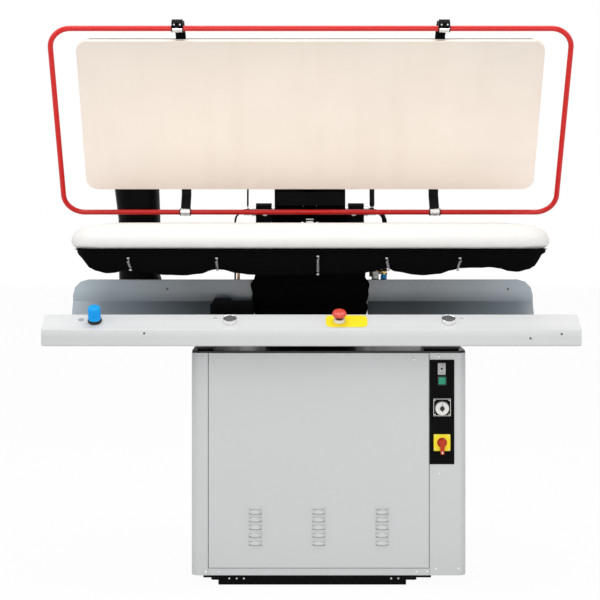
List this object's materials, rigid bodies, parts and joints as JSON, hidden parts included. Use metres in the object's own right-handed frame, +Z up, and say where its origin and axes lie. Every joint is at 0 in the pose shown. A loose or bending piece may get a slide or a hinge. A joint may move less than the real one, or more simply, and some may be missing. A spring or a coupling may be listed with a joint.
{
  "type": "ironing press",
  "caption": "Free-standing pneumatic ironing press with a sprung guard ring, a padded suction buck, two-hand controls and a built-in boiler.",
  "frame": {"origin": "on the floor, under the middle of the whole press: half way across its width and half way from the beam front to the duct back", "axes": "+Z up; +Y from the operator, who stands at the beam, to the back; +X to the operator's right"},
  "size_m": [1.4302, 0.758, 1.5154],
  "materials": {
    "black_plastic": "satin moulded plastic",
    "yellow_plastic": "bright yellow plate",
    "white_plastic": "off-white moulding",
    "grey_plastic": "moulded grey",
    "red_plastic": "bright red moulding",
    "blue_plastic": "bright blue moulding",
    "green_plastic": "clear green lens",
    "black_paint": "fine satin black paint",
    "grey_paint": "light grey satin paint",
    "black_panel": "black faced panel",
    "red_paint": "gloss red powder coat",
    "polished_steel": "ground and polished",
    "polished_plate": "polished, faintly stained by heat and steam",
    "bare_steel": "plain sheet steel",
    "bare_aluminium": "anodised",
    "brass": "cast and turned",
    "copper_tube": "dulled copper tube",
    "rubber": "matt black",
    "white_cloth": "white quilted press cloth",
    "black_cloth": "matt black woven cloth"
  },
  "bodies": {
    "cabinet": {"hand_button_rim_left": "polished_steel", "hand_button_rim_right": "polished_steel", "stop_button_plate": "yellow_plastic", "stop_button_collar": "white_plastic", "regulator_collar": "black_plastic", "base_frame": "black_paint", "levelling_foot_front_left": "black_plastic", "levelling_foot_rear_left": "black_plastic", "levelling_foot_front_right": "black_plastic", "levelling_foot_rear_right": "black_plastic", "left_side_panel": "grey_paint", "right_side_panel": "grey_paint", "floor_pan": "grey_paint", "rear_panel": "grey_paint", "front_door": "grey_paint", "cabinet_top": "black_paint", "boiler_tank": "bare_steel", "heater_flange": "brass", "suction_fan_housing": "bare_steel", "suction_motor": "bare_aluminium", "control_plate": "black_panel", "main_switch_plate": "yellow_plastic", "control_beam": "grey_paint", "garment_tray": "grey_paint", "buck_pad": "white_cloth", "buck_pan": "black_paint", "buck_skirt": "black_cloth", "buck_column": "black_paint", "column_boot": "black_cloth", "damper_box": "black_paint", "steam_supply_pipe": "copper_tube", "steam_valve": "brass", "stand_frame": "black_paint", "air_cylinder": "bare_aluminium", "steam_line_stand": "rubber", "signal_line_stand": "rubber", "exhaust_duct": "black_paint"},
    "fan_wheel": {"suction_fan_wheel": "bare_aluminium"},
    "head": {"head_plate": "polished_plate", "head_casing": "black_paint", "head_arm": "black_paint", "head_shaft": "polished_steel", "closing_lever": "black_paint", "lever_pin": "polished_steel", "steam_line_head": "rubber", "signal_line_head": "rubber"},
    "guard": {"guard_tube": "red_paint", "guard_strap_front_left": "rubber", "guard_strap_front_right": "rubber", "guard_strap_rear_left": "rubber", "guard_strap_rear_right": "rubber"},
    "cylinder_rod": {"cylinder_rod": "polished_steel"},
    "hand_left": {"hand_button_cap_left": "grey_plastic"},
    "hand_right": {"hand_button_cap_right": "grey_plastic"},
    "stop_stem": {"stop_button_stem": "black_plastic"},
    "stop_head": {"stop_button_head": "red_plastic"},
    "regulator": {"regulator_knob": "blue_plastic"},
    "lamp_key": {"lamp_switch_key": "green_plastic"},
    "timer": {"timer_dial": "white_plastic"},
    "main_switch": {"main_switch_handle": "red_plastic"}
  },
  "joints": [
    {"name": "suction_fan", "type": "hinge", "parent": "cabinet", "child": "fan_wheel", "pos_m": [0, 0.071, 0.55], "axis": [0, 0, 1], "continuous": true},
    {"name": "head_hinge", "type": "hinge", "parent": "cabinet", "child": "head", "pos_m": [0, 0.261, 0.99], "axis": [1, 0, 0], "range_deg": [0, 57.6]},
    {"name": "guard_travel", "type": "slide", "parent": "head", "child": "guard", "axis": [0, 0.8462, 0.5329], "range_m": [0, 0.012], "stiffness_N_per_m": 900},
    {"name": "cylinder_stroke", "type": "slide", "parent": "cabinet", "child": "cylinder_rod", "axis": [0, 0, 1], "range_m": [0, 0.0771]},
    {"name": "left_hand_button", "type": "slide", "parent": "cabinet", "child": "hand_left", "axis": [0, 0.4571, -0.8894], "range_m": [0, 0.003], "stiffness_N_per_m": 1500},
    {"name": "right_hand_button", "type": "slide", "parent": "cabinet", "child": "hand_right", "axis": [0, 0.4571, -0.8894], "range_m": [0, 0.003], "stiffness_N_per_m": 1500},
    {"name": "stop_press", "type": "slide", "parent": "cabinet", "child": "stop_stem", "axis": [0, 0.4571, -0.8894], "range_m": [0, 0.006], "stiffness_N_per_m": 1200},
    {"name": "stop_release", "type": "hinge", "parent": "stop_stem", "child": "stop_head", "pos_m": [0.072, -0.344, 0.713], "axis": [0, -0.4571, 0.8894], "range_deg": [0, 45], "stiffness_Nm_per_rad": 0.4},
    {"name": "regulator_turn", "type": "hinge", "parent": "cabinet", "child": "regulator", "pos_m": [-0.557, -0.344, 0.713], "axis": [0, -0.4571, 0.8894], "range_deg": [0, 300]},
    {"name": "lamp_key_press", "type": "slide", "parent": "cabinet", "child": "lamp_key", "axis": [0, 1, 0], "range_m": [0, 0.0025], "stiffness_N_per_m": 800},
    {"name": "timer_turn", "type": "hinge", "parent": "cabinet", "child": "timer", "pos_m": [0.3461, -0.233, 0.475], "axis": [0, -1, 0], "range_deg": [0, 300]},
    {"name": "main_switch_turn", "type": "hinge", "parent": "cabinet", "child": "main_switch", "pos_m": [0.3461, -0.233, 0.3845], "axis": [0, -1, 0], "range_deg": [0, 90]}
  ],
  "couplings": [
    {"joint": "cylinder_stroke", "follows": "head_hinge", "m_per_rad": 0.07665}
  ]
}
